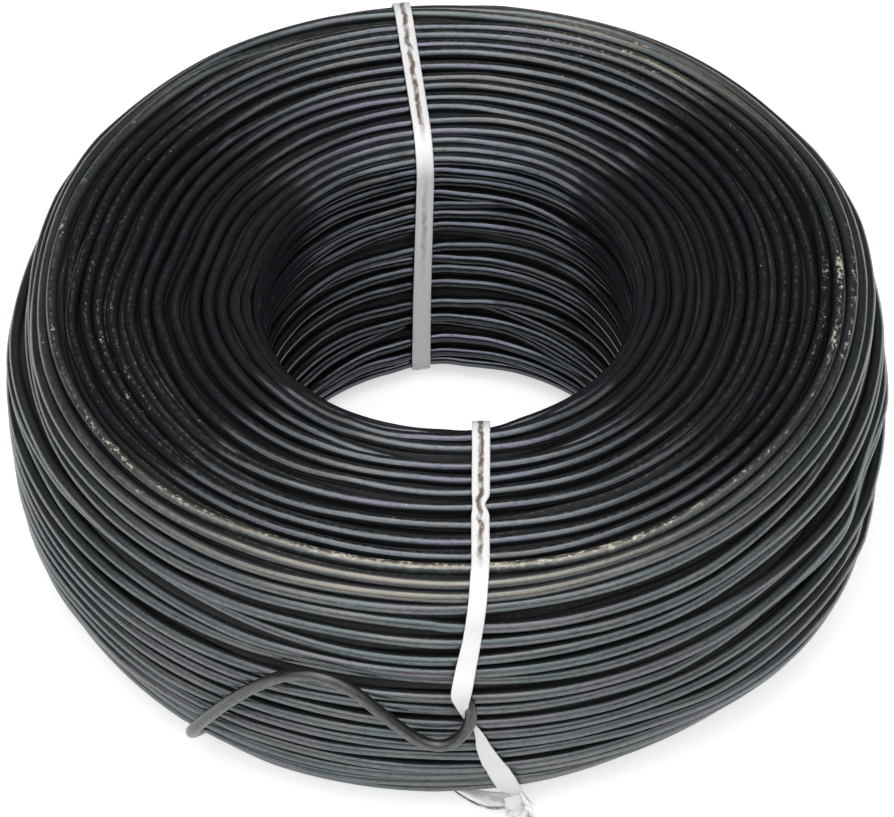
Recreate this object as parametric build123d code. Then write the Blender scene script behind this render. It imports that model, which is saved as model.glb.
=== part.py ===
from build123d import *
import math
import os

# A coil of black annealed binding wire, lying flat, held by two flat ties.
# Millimetres, +Z up, front of the coil towards -Y. Heights here are above the floor that the coil lies on;
# the finished pieces are then lowered by half the coil's height, which puts the origin in the middle of the bore.

# Wire and winding
wire_diameter = 1.6
bore_radius = 24.2          # free hole through the coil
side_radius = 56.8          # outer side where it meets its shoulders
side_bulge = 1.7            # how far the fullest turns of the outer side stand out
coil_height = 44.3
top_shoulder = 5.9          # rounding of the outer edge, top
bottom_shoulder = 12.1      # rounding of the outer edge, underneath
bore_lip = 5.1              # rounding of the bore's edges
turn_pitch = 2.4            # from one turn to the next over the ends
turn_groove = 0.6           # depth between two turns
lip_facets = 3              # flat steps that follow the turns round each edge, and down the side
top_shoulder_facets = 3
bottom_shoulder_facets = 4
side_facets = 4

# Ties
tie_width = 2.4
tie_thickness = 0.4
tie_clearance = 0.3         # around a tie where it is drawn into the turns
tie_recess = 0.15           # from the free bore to a tie that is drawn into the turns
tie_rise = 0.35             # from the turns to a tie that lies over them
front_tie_offset = 4.2      # sideways, from the coil's middle plane
front_tie_azimuth = -90.0
rear_tie_offset = 0.0
rear_tie_azimuth = 95.7

# Where the front tie wanders on the outer side: the hooked wire pinches it
pinch_height = 24.6
pinch_shift = -2.9
pinch_width = 1.1
knot_shift = 2.2
knot_height = 2.3
knot_inset = 2.2            # from the outer side to the knot, which lies under its rounded edge
knot_length = 4.4
knot_thickness = 3.8
knot_sides = 8
end_width = 1.5
left_end_run = (-6.0, 4.0)  # from the knot, sideways and inwards
right_end_run = (3.2, 1.4)
end_lift = 0.15

# Loose end of the wire. Each point of its route: azimuth in degrees, distance outwards from the outer side,
# height as a share of the coil's height.
tail_sides = 10
tail_route = [
    (-129.0, -4.2, 0.030),
    (-126.4, 2.4, 0.185),
    (-119.9, 3.5, 0.447),
    (-115.2, 3.5, 0.587),
    (-109.2, 3.5, 0.682),
    (-103.9, 3.5, 0.675),
    (-98.0, 3.6, 0.544),
    (-92.6, 3.9, 0.438),
    (-89.0, 4.1, 0.479),
    (-87.3, 4.2, 0.578),
    (-88.0, 4.2, 0.634),
]


def loop_edges(inner, outer, low, high, lips, shoulders, bulge):
    """Edges of a closed, rounded section in the XZ plane, anticlockwise from the bottom of the bore.

    lips and shoulders are (bottom, top) radii at the bore and at the outer side.
    """
    lip_low, lip_high = lips
    shoulder_low, shoulder_high = shoulders
    side_middle = (low + shoulder_low + high - shoulder_high) / 2

    def corner(cx, cz, radius, start):
        return CenterArc((cx, cz), radius, start, 90)

    bottom = Line((inner + lip_low, low), (outer - shoulder_low, low))
    under = corner(outer - shoulder_low, low + shoulder_low, shoulder_low, 270)
    side = ThreePointArc((outer, low + shoulder_low), (outer + bulge, side_middle), (outer, high - shoulder_high))
    over = corner(outer - shoulder_high, high - shoulder_high, shoulder_high, 0)
    top = Line((outer - shoulder_high, high), (inner + lip_high, high))
    lip_top = corner(inner + lip_high, high - lip_high, lip_high, 90)
    wall = Line((inner, high - lip_high), (inner, low + lip_low))
    lip_bottom = corner(inner + lip_low, low + lip_low, lip_low, 180)
    return bottom, under, side, over, top, lip_top, wall, lip_bottom


def points_along(edge, steps):
    """Points that divide an edge into equal steps, without its first one."""
    return [edge @ (step / steps) for step in range(1, steps + 1)]


def turned_end(edge):
    """Points over one end of the coil: a crest for each turn and a groove between two turns."""
    turns = round(edge.length / turn_pitch)
    inward = Vector(-(edge % 0).Y, (edge % 0).X)
    points = []
    for step, place in enumerate(points_along(edge, 2 * turns), start=1):
        groove = step % 2 == 1
        points.append(place + inward * (turn_groove if groove else 0))
    return points


def wire_coil():
    """The wound body: one turned solid with its bore, its turns standing out on both ends."""
    bottom, under, side, over, top, lip_top, wall, lip_bottom = loop_edges(
        bore_radius, side_radius, 0, coil_height,
        (bore_lip, bore_lip), (bottom_shoulder, top_shoulder), side_bulge)
    outline = [lip_bottom @ 0]
    outline += points_along(lip_bottom, lip_facets)
    outline += turned_end(bottom)
    outline += points_along(under, bottom_shoulder_facets)
    outline += points_along(side, side_facets)
    outline += points_along(over, top_shoulder_facets)
    outline += turned_end(top)
    outline += points_along(lip_top, lip_facets)
    section = make_face(Polyline(*outline, close=True))
    turned = revolve(Plane.XZ * section, Axis.Z)
    for azimuth, offset in tie_places():
        turned -= tie_seat(azimuth, offset)
    return turned


def tie_places():
    """Azimuth and sideways offset of each tie, front first."""
    return [(front_tie_azimuth, front_tie_offset), (rear_tie_azimuth, rear_tie_offset)]


def tie_face(grow):
    """Section of the space inside a tie, grown outwards by the given amount.

    In the bore and underneath, the tie is drawn into the turns; over the top and the side it lies on them.
    """
    sunk = tie_thickness
    return make_face(loop_edges(
        bore_radius + tie_recess + sunk - grow, side_radius + tie_rise + grow,
        sunk - grow, coil_height + tie_rise + grow,
        (bore_lip - sunk + grow, bore_lip - sunk + grow),
        (bottom_shoulder - sunk + grow, top_shoulder + tie_rise + grow), side_bulge))


def set_on_plane(solid, azimuth, offset):
    """Move a solid made across the XZ plane to a tie's own plane."""
    return Rot(0, 0, azimuth) * Pos(0, offset, 0) * solid


def tie_seat(azimuth, offset):
    """What a tie takes out of the coil where it is drawn into the turns."""
    width = tie_width + 2 * tie_clearance
    reach = side_radius + side_bulge
    block = Pos(bore_radius + reach / 2 - bore_lip, 0, coil_height / 2) * Box(reach, width, 2 * coil_height)
    inside = extrude(Plane.XZ * tie_face(-tie_clearance), width, both=True)
    return set_on_plane(block - inside, azimuth, offset)


def tie_band(width):
    """Closed flat band round the coil's section, across the XZ plane."""
    ring = tie_face(tie_thickness) - tie_face(0)
    return extrude(Plane.XZ * ring, width / 2, both=True)


def rear_tie():
    """Plain band, drawn tight."""
    return set_on_plane(tie_band(tie_width), rear_tie_azimuth, rear_tie_offset)


def front_tie():
    """Band that wanders down the outer side: pinched by the hooked wire, and knotted at the bottom."""
    wide = tie_band(4 * tie_width)
    straight_length = side_radius - top_shoulder
    straight = Pos(straight_length / 2, 0, 0) * Box(straight_length, tie_width, 3 * coil_height)
    half = tie_width / 2
    above, below = coil_height + 2 * tie_width, -2 * tie_width
    middle = [(0.0, above, half), (0.0, coil_height - top_shoulder, half),
              (pinch_shift, pinch_height, pinch_width / 2), (knot_shift, knot_height + tie_width, half),
              (0.0, below, half)]
    left = [(shift - reach, level) for shift, level, reach in middle]
    right = [(shift + reach, level) for shift, level, reach in reversed(middle)]
    corridor = extrude(Plane.YZ * make_face(Polyline(*left, *right, close=True)), 2 * side_radius)
    outer_zone = Pos(straight_length, 0, 0) * corridor
    band = wide & (straight + outer_zone)
    placed = set_on_plane(band, front_tie_azimuth, front_tie_offset)
    return placed + knot()


def knot():
    """Knot under the bottom edge, and its two short ends on the floor."""
    centre = (front_tie_offset + knot_shift, knot_inset - side_radius, knot_height)
    lump = extrude(RegularPolygon(knot_thickness / 2, knot_sides), knot_length / 2, both=True)
    ends = lump.faces().sort_by(Axis.Z)[0].edges() + lump.faces().sort_by(Axis.Z)[-1].edges()
    barrel = chamfer(ends, knot_thickness / 5)
    body = Pos(*centre) * Rot(0, 90, 0) * barrel
    for run in (left_end_run, right_end_run):
        start = Vector(centre[0], centre[1])
        along = Vector(*run)
        end = start + along
        bow = Vector(-along.Y, along.X) * 0.12
        path = ThreePointArc(start, (start + end) / 2 + bow, end)
        strip = trace(path, end_width)
        body += Pos(0, 0, end_lift) * extrude(strip, tie_thickness)
    return body


def wire_tail():
    """Loose end of the wire: straight runs joined by tangent arcs, hooked over the front tie."""
    points = []
    for azimuth, outwards, share in tail_route:
        angle, reach = math.radians(azimuth), side_radius + outwards
        points.append(Vector(reach * math.cos(angle), reach * math.sin(angle), share * coil_height))
    radii = []
    for before, here, after in zip(points, points[1:], points[2:]):
        turn = (here - before).get_angle(after - here)
        shorter = min((here - before).length, (after - here).length)
        radii.append(0.45 * shorter / math.tan(math.radians(turn) / 2))
    path = FilletPolyline(*points, radius=radii)
    print("tail radii", [round(radius, 1) for radius in radii], "length", round(path.length, 1))
    start = Plane(origin=path @ 0, z_dir=path % 0)
    section = RegularPolygon(wire_diameter / 2, tail_sides)
    tube = sweep(start * section, path)
    print("tail volume", round(tube.volume, 2), "section times length", round(section.area * path.length, 2))
    return tube


from_floor_to_origin = Pos(0, 0, -coil_height / 2)
os.makedirs("parts", exist_ok=True)
for make in (wire_coil, wire_tail, front_tie, rear_tie):
    export_step(from_floor_to_origin * make(), f"parts/{make.__name__}.step")
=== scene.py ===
"""A coil of black annealed binding wire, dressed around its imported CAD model.

The wire is laid turn by turn over the coil's rounded section. A place on the section is a distance in
millimetres along its outline, counted from the bottom of the bore's straight wall, up the wall, out over the
top, down the outer side and back along the floor. Sizes are in millimetres above the floor that the coil
lies on, and in_frame() takes them to the frame's metres.
"""

import logging
import math
from dataclasses import dataclass, field
from enum import Enum

import bpy
import numpy as np
from mathutils import Matrix, Vector


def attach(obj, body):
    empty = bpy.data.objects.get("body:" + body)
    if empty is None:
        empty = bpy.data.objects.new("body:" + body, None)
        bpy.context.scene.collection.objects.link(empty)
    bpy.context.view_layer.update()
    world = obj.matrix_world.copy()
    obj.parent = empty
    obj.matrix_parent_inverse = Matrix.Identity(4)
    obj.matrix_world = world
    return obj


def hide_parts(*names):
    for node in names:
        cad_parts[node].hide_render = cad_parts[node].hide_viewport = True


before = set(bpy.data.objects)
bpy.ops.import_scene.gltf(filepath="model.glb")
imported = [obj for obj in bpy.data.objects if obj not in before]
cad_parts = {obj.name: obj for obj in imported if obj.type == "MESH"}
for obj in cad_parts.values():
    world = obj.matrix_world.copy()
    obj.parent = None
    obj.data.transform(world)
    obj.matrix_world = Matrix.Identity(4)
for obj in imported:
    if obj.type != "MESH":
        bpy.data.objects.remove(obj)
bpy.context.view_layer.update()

log = logging.getLogger("coil")

MM = 0.001
BODY = "root"
COIL_HEIGHT = 44.3
WIRE_RADIUS = 0.8
WIRE_THICKNESS = 2 * WIRE_RADIUS
FULL_RADIUS = 58.45
FULL_TURN = 2 * math.pi
FRONT_AZIMUTH = -90.0
FRONT_OFFSET = 4.2
REAR_AZIMUTH = 95.7
IMAGE_WIDTH = 894.0
SENSOR_WIDTH = 36.0

Row = tuple[float, ...]
Arrays = tuple[np.ndarray, ...]


class Slot(Enum):
    """Names of the record's material slots; nothing in this script uses them."""

    WIRE = "black_wire"
    TIE = "white_tie"


def in_frame(points: np.ndarray) -> np.ndarray:
    """Points in millimetres above the floor, in metres from the frame's origin, the middle of the bore."""
    return (points - np.array([0.0, 0.0, COIL_HEIGHT / 2])) * MM


def smooth(share: np.ndarray) -> np.ndarray:
    """0 below 0, 1 above 1, and 3x^2 - 2x^3 between."""
    held = np.clip(share, 0.0, 1.0)
    return held * held * (3.0 - 2.0 * held)


def unit(vectors: np.ndarray) -> np.ndarray:
    """Vectors along the last axis, each divided by its length."""
    return vectors / np.linalg.norm(vectors, axis=-1, keepdims=True)


def run_lengths(points: np.ndarray) -> np.ndarray:
    """Distance along a path from its first point to each of its points."""
    return np.concatenate([[0.0], np.cumsum(np.linalg.norm(np.diff(points, axis=0), axis=1))])


def placed(name: str, data: bpy.types.ID) -> bpy.types.Object:
    """Make an object and link it into the scene.

    Args:
        name: the object's name.
        data: its mesh, curve, light or camera.

    Returns:
        The new object.
    """
    made = bpy.data.objects.new(name, data)
    bpy.context.scene.collection.objects.link(made)
    return made


# ---- shader maths


class Channel:
    """A shader socket that arithmetic works on: each operation adds one Math node."""

    def __init__(self, shader: "Shader", socket: bpy.types.NodeSocket) -> None:
        """Keep the socket and the shader that its nodes belong to."""
        self.shader = shader
        self.socket = socket

    def _with(self, operation: str, *others: "Channel | float") -> "Channel":
        """A Math node of that operation on this socket and the others."""
        return self.shader.maths(operation, self, *others)

    def __add__(self, other: "Channel | float") -> "Channel":
        """Sum."""
        return self._with("ADD", other)

    def __radd__(self, other: float) -> "Channel":
        """Sum, number first."""
        return self.shader.maths("ADD", other, self)

    def __sub__(self, other: "Channel | float") -> "Channel":
        """Difference."""
        return self._with("SUBTRACT", other)

    def __rsub__(self, other: float) -> "Channel":
        """Difference, number first."""
        return self.shader.maths("SUBTRACT", other, self)

    def __mul__(self, other: "Channel | float") -> "Channel":
        """Product."""
        return self._with("MULTIPLY", other)

    def __rmul__(self, other: float) -> "Channel":
        """Product, number first."""
        return self.shader.maths("MULTIPLY", other, self)

    def __truediv__(self, other: "Channel | float") -> "Channel":
        """Quotient."""
        return self._with("DIVIDE", other)

    def clamped(self) -> "Channel":
        """The value held between 0 and 1."""
        return self._with("MINIMUM", 1.0)._with("MAXIMUM", 0.0)

    def step(self, low: float, high: float) -> "Channel":
        """A smooth rise.

        Args:
            low: the value up to which the result is 0.
            high: the value from which it is 1.

        Returns:
            The risen value.
        """
        node = self.shader.node(
            "ShaderNodeMapRange",
            {"interpolation_type": "SMOOTHSTEP"},
            {"Value": self, "From Min": low, "From Max": high},
        )
        return Channel(self.shader, node.outputs["Result"])


class Shader:
    """One material's node tree around a Principled shader."""

    def __init__(self, name: str) -> None:
        """Start a material.

        Args:
            name: the material's name.
        """
        self.material = bpy.data.materials.new(name)
        self.material.use_nodes = True
        self.tree = self.material.node_tree
        self.skin = self.tree.nodes["Principled BSDF"]

    def node(self, kind: str, settings: dict | None = None, values: dict | None = None) -> bpy.types.Node:
        """Add a node to the tree.

        Args:
            kind: the node's Blender type.
            settings: properties, which are set first.
            values: socket name or number to a value, a channel or a socket.

        Returns:
            The new node.
        """
        made = self.tree.nodes.new(kind)
        for key, value in (settings or {}).items():
            setattr(made, key, value)
        for key, value in (values or {}).items():
            self.feed(made.inputs[key], value)
        return made

    def feed(self, socket: bpy.types.NodeSocket, value: object) -> None:
        """Link a channel or socket to a socket, or set its value.

        Args:
            socket: the socket to feed.
            value: a channel, a socket, a number or a colour.
        """
        if isinstance(value, Channel):
            self.tree.links.new(value.socket, socket)
        elif isinstance(value, bpy.types.NodeSocket):
            self.tree.links.new(value, socket)
        else:
            socket.default_value = value

    def maths(self, operation: str, *values: "Channel | float") -> Channel:
        """A Math node of that operation."""
        made = self.node("ShaderNodeMath", {"operation": operation}, dict(enumerate(values)))
        return Channel(self, made.outputs[0])

    def number(self, name: str) -> Channel:
        """The piece's own attribute of that name, as a number."""
        made = self.node("ShaderNodeAttribute", {"attribute_name": name})
        return Channel(self, made.outputs["Fac"])

    def vector(self, name: str) -> tuple[bpy.types.NodeSocket, list[Channel]]:
        """Read the piece's own attribute.

        Args:
            name: the attribute's name.

        Returns:
            Its vector, and the vector's three parts.
        """
        made = self.node("ShaderNodeAttribute", {"attribute_name": name}).outputs["Vector"]
        parts = self.node("ShaderNodeSeparateXYZ", {}, {0: made})
        return made, [Channel(self, socket) for socket in parts.outputs]

    def scaled(self, vector: object, scale: Row) -> bpy.types.NodeSocket:
        """A vector times one factor for each axis."""
        made = self.node("ShaderNodeVectorMath", {"operation": "MULTIPLY"}, {0: vector, 1: scale})
        return made.outputs["Vector"]

    def noise(self, vector: object, scale: float, detail: float = 3.0, roughness: float = 0.55) -> Channel:
        """Smooth noise at a vector, from 0 to 1, with finer layers of that detail and roughness."""
        values = {"Vector": vector, "Scale": scale, "Detail": detail, "Roughness": roughness}
        return Channel(self, self.node("ShaderNodeTexNoise", {}, values).outputs["Fac"])

    def blend(self, factor: "Channel | float", first: object, second: object) -> bpy.types.NodeSocket:
        """Two colours mixed: (1 - factor) * first + factor * second."""
        made = self.node("ShaderNodeMix", {"data_type": "RGBA"}, {0: factor, 6: first, 7: second})
        return made.outputs[2]

    def set(self, **values: object) -> None:
        """Set or link the Principled shader's sockets, named with _ for a space."""
        for key, value in values.items():
            self.feed(self.skin.inputs[key.replace("_", " ")], value)

    def bump(self, height: Channel, strength: float, distance: float) -> None:
        """Feed the Principled shader's normal from a height; 1 rises by that distance in metres."""
        values = {"Height": height, "Strength": strength, "Distance": distance}
        self.set(Normal=self.node("ShaderNodeBump", {}, values).outputs["Normal"])


@dataclass(frozen=True)
class BlackWireFinish:
    """Annealed wire with its dark oxide: bluish sheen, drawing streaks, dust and dried sandy dirt.

    Its flank shade is painted shade: that share of the sheen is darkened to black on the flank of each turn
    that looks down. The scales stretch the strand vector for one pattern each: outwards, across and along
    the wire.
    """

    name: str
    oxide: tuple = (0.074, 0.087, 0.098, 1.0)
    worn: tuple = (0.134, 0.143, 0.152, 1.0)
    violet: tuple = (0.112, 0.108, 0.142, 1.0)
    brown: tuple = (0.122, 0.106, 0.094, 1.0)
    sand: tuple = (0.235, 0.212, 0.176, 1.0)
    dust: tuple = (0.58, 0.54, 0.44, 1.0)
    black: tuple = (0.01, 0.01, 0.011, 1.0)
    metal: float = 0.91
    roughness: float = 0.17
    specular: float = 0.5
    painted_flank_shade: float = 0.0
    violet_share: float = 0.75
    brown_share: float = 0.5
    pitting: float = 2.2
    streak_scale: Row = (3.0, 3.0, 0.07)
    patch_scale: Row = (0.4, 0.4, 0.10)
    tint_scale: Row = (0.3, 0.3, 0.045)
    grit_scale: Row = (1.0, 1.0, 0.6)
    grit_size: float = 2.2
    clump_size: float = 0.35
    bump_strength: float = 0.55
    bump_distance: float = 0.00008

    def material(self) -> bpy.types.Material:
        """Build the material.

        It reads the strand vector (millimetres outwards, across and along the wire), sand and dust. Oxide
        turns worn where streaks and patches are high, violet where the tint is high and brown where it is
        low, and low grit leaves black pits. Painted shade darkens the flank of each turn that looks down.
        Dirt keeps to the wire's crest, where strand x nears the wire's radius: a film of sand, and dust in
        specks. A chain of light dots runs along every crest: a faint painted highlight line on every turn,
        and dust dots where there is dust.

        Returns:
            The new material.
        """
        shader = Shader(self.name)
        strand, (ahead, aside, _) = shader.vector("strand")
        sand, dust = shader.number("sand"), shader.number("dust")
        outwards = ahead / WIRE_RADIUS
        streaks = shader.noise(shader.scaled(strand, self.streak_scale), 1.0, 4.0)
        patches = shader.noise(shader.scaled(strand, self.patch_scale), 1.0, 2.0)
        tints = shader.noise(shader.scaled(strand, self.tint_scale), 1.0, 2.0)
        grit = shader.noise(shader.scaled(strand, self.grit_scale), self.grit_size, 4.0, 0.75)
        clumps = shader.noise(strand, self.clump_size, 2.0)
        worn = (streaks * 1.3 + patches * 0.9 - 0.62).clamped()
        metal = shader.blend(worn, self.oxide, self.worn)
        metal = shader.blend(tints.step(0.50, 0.64) * self.violet_share, metal, self.violet)
        metal = shader.blend((1.0 - tints.step(0.33, 0.44)) * self.brown_share, metal, self.brown)
        metal = shader.blend((0.5 - grit).clamped() * self.pitting, metal, self.black)
        # Painted shade: the flank of each turn that looks down is darkened towards black.
        if self.painted_flank_shade:
            upward = (aside / WIRE_RADIUS).step(0.0, 0.45)
            metal = shader.blend(self.painted_flank_shade * (1.0 - upward), metal, self.black)
        sandy = (sand * outwards.step(0.68, 1.0) * (patches * 1.3 + streaks * 0.6 - 0.2)).clamped()
        specks = (grit + clumps * 0.35 - (0.95 - dust * 0.24)).step(0.0, 0.06)
        specks = specks * (0.1 + outwards.step(0.66, 1.0) * 0.9)
        # Partly painted highlight: a faint line of light dots along every crest, brighter where there is
        # dust.
        crest_dust_and_highlight = outwards.step(0.9, 1.0) * (grit * 5.0 - 2.4).clamped() * (0.08 + dust * 0.6)
        coloured = shader.blend(sandy, metal, self.sand)
        coloured = shader.blend((specks + crest_dust_and_highlight).clamped(), coloured, self.dust)
        covered = (sandy * 0.12 + specks + crest_dust_and_highlight).clamped()
        shader.set(
            Base_Color=coloured,
            Metallic=self.metal * (1.0 - covered),
            Specular_IOR_Level=self.specular,
            Roughness=(self.roughness + (streaks - 0.5) * 0.2 + covered * 0.35).clamped(),
        )
        shader.bump(streaks + grit * 0.35, self.bump_strength, self.bump_distance)
        return shader.material


@dataclass(frozen=True)
class WhiteTapeFinish:
    """White plastic tape with grey and brown grime rubbed along it."""

    name: str
    clean: tuple = (0.92, 0.92, 0.92, 1.0)
    grime: tuple = (0.165, 0.112, 0.082, 1.0)
    roughness: float = 0.5
    weave_scale: Row = (4.0, 4.0, 0.25)
    blot_scale: Row = (0.9, 0.9, 0.35)
    wander_scale: Row = (0.0, 0.0, 0.45)
    break_scale: Row = (1.2, 1.2, 0.5)
    wander: float = 1.2
    line_edges: Row = (0.12, 0.52)

    def material(self) -> bpy.types.Material:
        """Build the material.

        It reads the tape vector (millimetres across, unused, millimetres along) and grime. The stain is a
        thin broken line that wanders about the tape's middle, with some blots beside it.

        Returns:
            The new material.
        """
        shader = Shader(self.name)
        tape, (across, *_) = shader.vector("tape")
        grime = shader.number("grime")
        weave = shader.noise(shader.scaled(tape, self.weave_scale), 1.0, 3.0)
        blots = shader.noise(shader.scaled(tape, self.blot_scale), 1.4, 4.0, 0.65)
        sway = shader.noise(shader.scaled(tape, self.wander_scale), 1.0, 2.0)
        broken = shader.noise(shader.scaled(tape, self.break_scale), 1.0, 4.0, 0.7)
        off_line = shader.maths("ABSOLUTE", across + (sway - 0.5) * self.wander)
        line = 1.0 - off_line.step(*self.line_edges)
        stained = (grime * (line * (broken * 4.4 - 1.3) + (blots - 0.60).clamped() * 2.0)).clamped()
        colour = shader.blend(stained, self.clean, self.grime)
        shader.set(Base_Color=colour, Roughness=self.roughness + weave * 0.15)
        shader.bump(weave, 0.3, 0.0001)
        return shader.material


# ---- mesh making


def grid_faces(rows: int, columns: int, closed_rows: bool, closed_columns: bool) -> np.ndarray:
    """Quads between neighbouring points of a grid, numbered row by row.

    Args:
        rows: points along the first parameter.
        columns: points along the second.
        closed_rows: whether the last row joins the first.
        closed_columns: whether the last column joins the first.

    Returns:
        Vertex numbers, four to a face.
    """
    row = np.arange(rows if closed_rows else rows - 1)[:, None]
    column = np.arange(columns if closed_columns else columns - 1)[None, :]
    next_row = (row + 1) % rows
    next_column = (column + 1) % columns
    corners = [
        row * columns + column,
        next_row * columns + column,
        next_row * columns + next_column,
        row * columns + next_column,
    ]
    return np.stack(np.broadcast_arrays(*corners), -1).reshape(-1, 4)


def end_caps(rows: int, columns: int) -> list:
    """The two flat faces that close a profile of so many columns, swept along so many rows."""
    last = rows * columns - 1
    return [[list(range(columns))], [list(range(last, last - columns, -1))]]


def new_piece(
    name: str,
    points: np.ndarray,
    faces: list,
    material: bpy.types.Material,
    attributes: dict[str, np.ndarray],
) -> bpy.types.Object:
    """Make a smooth-shaded mesh piece that rides on the coil.

    Args:
        name: the piece's name.
        points: vertices, in millimetres above the floor.
        faces: arrays of vertex numbers, or lists of them.
        material: its finish.
        attributes: named values at the vertices, one number or three each.

    Returns:
        The new object, at the origin.
    """
    mesh = bpy.data.meshes.new(name)
    corners = [list(face) for part in faces for face in part]
    mesh.from_pydata(in_frame(points.reshape(-1, 3)).tolist(), [], corners)
    for key, values in attributes.items():
        kind = "FLOAT" if values.ndim == 1 else "FLOAT_VECTOR"
        layer = mesh.attributes.new(key, kind, "POINT")
        layer.data.foreach_set("value" if kind == "FLOAT" else "vector", values.astype(np.float32).ravel())
    mesh.materials.append(material)
    mesh.shade_smooth()
    mesh.validate()
    mesh.update()
    made = placed(name, mesh)
    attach(made, BODY)
    log.info("%s: %d triangles", name, sum(len(p.vertices) - 2 for p in mesh.polygons))
    return made


def tube(centres: np.ndarray, outward: np.ndarray, sides: int) -> tuple[np.ndarray, list, np.ndarray]:
    """Carry the wire's round profile along an open path.

    The profile's points are centre + radius (cos a * outward + sin a * across), where outward is made square
    to the path and across is their cross product. Both ends are closed by one flat face.

    Args:
        centres: points of the path, (n, 3).
        outward: a direction at each point that isn't along the path.
        sides: points round the profile.

    Returns:
        Vertices (n * sides, 3), faces, and the strand vector at each vertex: millimetres round the wire's
        axis in two directions and along its length.
    """
    along = unit(np.gradient(centres, axis=0))
    across = unit(np.cross(along, outward))
    raised = np.cross(across, along)
    angle = np.linspace(0.0, FULL_TURN, sides, endpoint=False)
    cosine, sine = np.cos(angle), np.sin(angle)
    ring = cosine[:, None] * raised[:, None, :] + sine[:, None] * across[:, None, :]
    points = centres[:, None, :] + WIRE_RADIUS * ring
    length = run_lengths(centres)[:, None]
    strand = np.stack(np.broadcast_arrays(cosine * WIRE_RADIUS, sine * WIRE_RADIUS, length), -1)
    faces = [grid_faces(len(centres), sides, False, True)[:, ::-1], *end_caps(len(centres), sides)]
    return points.reshape(-1, 3), faces, strand.reshape(-1, 3)


# ---- the coil


@dataclass
class Section:
    """The coil's rounded section, with the same sizes as the CAD source."""

    bore_radius: float = 24.2
    side_radius: float = 56.8
    side_bulge: float = 1.7
    height: float = COIL_HEIGHT
    top_shoulder: float = 5.9
    bottom_shoulder: float = 12.1
    lip: float = 5.1
    samples: int = 400
    closest: float = 1e-6

    def __post_init__(self) -> None:
        """Work out the outline and its outward normals.

        Eight runs follow one another: the bore's wall, a quarter arc, the top, a quarter arc, the side as
        the parabola outer + bulge (1 - (2s - 1)^2), a quarter arc, the underside and a last quarter arc.
        """
        low, high = self.lip, self.height - self.lip
        shoulder_low, shoulder_high = self.bottom_shoulder, self.height - self.top_shoulder
        inner, outer = self.bore_radius, self.side_radius
        flat_start = inner + self.lip
        top_end, floor_end = outer - self.top_shoulder, outer - self.bottom_shoulder
        share = np.linspace(0.0, 1.0, self.samples)
        sine, cosine = np.sin(share * math.pi / 2), np.cos(share * math.pi / 2)
        down = shoulder_high + (shoulder_low - shoulder_high) * share
        runs = [
            (inner + 0 * share, low + (high - low) * share),
            (inner + self.lip * (1 - cosine), high + self.lip * sine),
            (flat_start + (top_end - flat_start) * share, self.height + 0 * share),
            (outer - self.top_shoulder * (1 - sine), shoulder_high + self.top_shoulder * cosine),
            (outer + self.side_bulge * (1 - (2 * share - 1) ** 2), down),
            (outer - self.bottom_shoulder * (1 - cosine), shoulder_low - self.bottom_shoulder * sine),
            (floor_end + (flat_start - floor_end) * share, 0 * share),
            (inner + self.lip * (1 - sine), low - self.lip * cosine),
        ]
        points = np.concatenate([np.stack(run, -1) for run in runs])
        steps = np.linalg.norm(np.diff(points, axis=0), axis=1)
        self.points = points[np.concatenate([[True], steps > self.closest])]
        self.places = run_lengths(self.points)
        self.length = self.places[-1]
        along = unit(np.gradient(self.points, axis=0))
        self.normals = np.stack([-along[:, 1], along[:, 0]], -1)

    def at(self, place: np.ndarray, sunk: np.ndarray) -> Arrays:
        """Find points under the outline.

        Args:
            place: millimetres along the outline; past its length it goes round again.
            sunk: how far under the outline, along its normal.

        Returns:
            Radius and height of the points, and the outward and the upward part of the normal there.
        """
        wrapped = np.mod(place, self.length)
        normal = [np.interp(wrapped, self.places, self.normals[:, axis]) for axis in (0, 1)]
        point = [np.interp(wrapped, self.places, self.points[:, axis]) for axis in (0, 1)]
        return point[0] - sunk * normal[0], point[1] - sunk * normal[1], normal[0], normal[1]

    def turned(self, azimuth: np.ndarray, place: np.ndarray, sunk: np.ndarray) -> Arrays:
        """Find points round the coil.

        Args:
            azimuth: angle round the coil's axis, in radians.
            place: millimetres along the outline.
            sunk: how far under the outline.

        Returns:
            The points, and the outward direction at each.
        """
        radius, height, out_radius, out_height = self.at(place, sunk)
        cosine, sine = np.cos(azimuth), np.sin(azimuth)
        points = np.stack([radius * cosine, radius * sine, height], -1)
        outward = np.stack([out_radius * cosine, out_radius * sine, out_height], -1)
        return points, outward


SECTION = Section()


def near(place: np.ndarray, centre: float, reach: float) -> np.ndarray:
    """1 at a place on the section, falling smoothly to 0 at that reach from it."""
    return smooth(1 - np.abs(place - centre) / reach)


def facing(azimuth: np.ndarray, centre: float, reach: float) -> np.ndarray:
    """1 at an azimuth in degrees, falling smoothly to 0 at that reach from it."""
    turned = np.abs(np.mod(azimuth - math.radians(centre) + math.pi, FULL_TURN) - math.pi)
    return smooth(1 - turned / math.radians(reach))


def heaped(azimuth: np.ndarray, place: np.ndarray, heaps: tuple[Row, ...]) -> np.ndarray:
    """Sum of smooth heaps over the coil's surface: sum of height * facing(azimuth) * near(place).

    Args:
        azimuth: angles round the axis, in radians.
        place: places on the section.
        heaps: for each heap its azimuth and reach in degrees, its place and spread, and its height.

    Returns:
        The summed height at each point.
    """
    total = np.zeros_like(place)
    for centre, reach, middle, spread, height in heaps:
        total += height * facing(azimuth, centre, reach) * near(place, middle, spread)
    return total


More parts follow.
